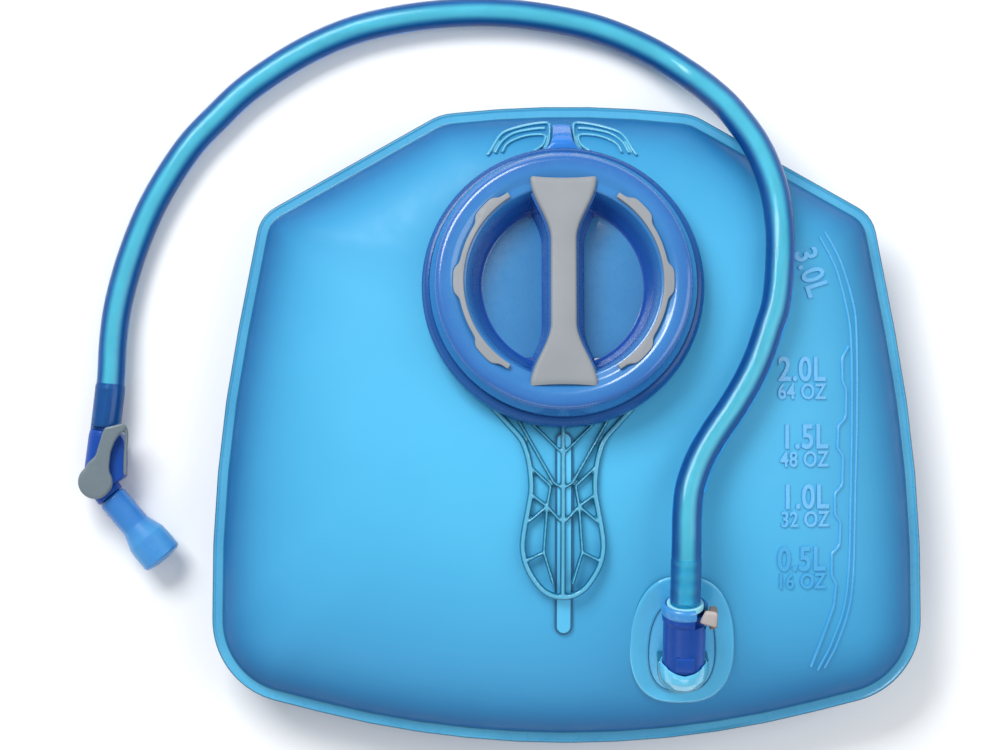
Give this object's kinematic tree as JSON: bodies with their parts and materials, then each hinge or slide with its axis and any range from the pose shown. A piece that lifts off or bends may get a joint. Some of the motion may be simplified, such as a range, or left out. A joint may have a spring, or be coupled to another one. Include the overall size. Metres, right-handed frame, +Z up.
{
  "type": "hydration bladder",
  "caption": "Filled drinking-water bladder with a screw cap in a wide fill port, ribbed fill handle, quick-release hose port, drink hose, shut-off lever and bite valve.",
  "frame": {"origin": "on the floor below the middle of the bladder's outline, hose not counted", "axes": "+Z up out of the filled bladder's front, +Y towards the top edge with the tether, +X to the right seen from above"},
  "size_m": [0.3253, 0.2888, 0.0804],
  "materials": {
    "film": "translucent thermoplastic polyurethane film, faintly matt",
    "clear_moulding": "clear moulded polyurethane with a light blue cast",
    "cap_blue": "satin moulded translucent blue plastic",
    "ring_blue": "glossy translucent blue elastomer",
    "socket_blue": "dark blue moulded plastic",
    "grip_grey": "soft-touch overmould, matt",
    "button_grey": "light warm grey moulded plastic",
    "seal_silicone": "clear silicone rubber",
    "spring_steel": "stainless spring wire",
    "hose_blue": "smooth translucent blue polyurethane tube",
    "bite_blue": "translucent blue silicone",
    "lever_grey": "satin grey moulded plastic"
  },
  "bodies": {
    "bladder": {"front_film": "film", "back_film": "film", "perimeter_weld": "film", "baffle_web": "film", "fill_port": "clear_moulding", "fill_handle": "clear_moulding", "port_wings": "clear_moulding", "tether_strap": "ring_blue", "outlet_base": "clear_moulding", "outlet_boss": "clear_moulding", "quick_link_socket": "socket_blue", "socket_seal": "seal_silicone", "button_spring": "spring_steel", "poppet_spring": "spring_steel"},
    "tether": {"tether_ring": "ring_blue"},
    "cap": {"cap_shell": "cap_blue", "cap_grip": "grip_grey", "cap_inlay_left": "grip_grey", "cap_inlay_right": "grip_grey", "cap_seal": "seal_silicone"},
    "button": {"release_button": "button_grey"},
    "poppet": {"check_poppet": "clear_moulding"},
    "hose": {"quick_link_plug": "cap_blue", "drink_hose": "hose_blue", "valve_body": "socket_blue"},
    "lever": {"valve_lever": "lever_grey", "valve_rotor": "lever_grey", "rotor_seals": "seal_silicone"},
    "bite": {"bite_valve": "bite_blue"}
  },
  "joints": [
    {"name": "cap_lift", "type": "slide", "parent": "bladder", "child": "tether", "axis": [0, 0.1392, 0.9903], "range_m": [0, 0.03], "deforming": ["tether_strap"]},
    {"name": "cap_turn", "type": "hinge", "parent": "tether", "child": "cap", "pos_m": [-0.0023, 0.051, 0.054], "axis": [0, 0.1392, 0.9903], "range_deg": [0, 180]},
    {"name": "release_button_press", "type": "slide", "parent": "bladder", "child": "button", "axis": [-1, 0, 0], "range_m": [0, 0.0013], "stiffness_N_per_m": 400, "springref_m": -0.0005, "deforming": ["button_spring"]},
    {"name": "hose_pull", "type": "slide", "parent": "bladder", "child": "hose", "axis": [0, 0.9336, 0.3584], "range_m": [0, 0.025]},
    {"name": "check_valve_close", "type": "slide", "parent": "bladder", "child": "poppet", "axis": [0, 0.9336, 0.3584], "range_m": [0, 0.0022], "deforming": ["poppet_spring"]},
    {"name": "valve_lever_turn", "type": "hinge", "parent": "hose", "child": "lever", "pos_m": [-0.1823, -0.0221, 0.0086], "axis": [0, 0, -1], "range_deg": [0, 90]},
    {"name": "bite_valve_turn", "type": "hinge", "parent": "hose", "child": "bite", "pos_m": [-0.1823, -0.0221, 0.0086], "axis": [0.6428, -0.766, 0], "continuous": true}
  ],
  "couplings": [
    {"joint": "check_valve_close", "follows": "hose_pull", "ratio": 0.088}
  ]
}
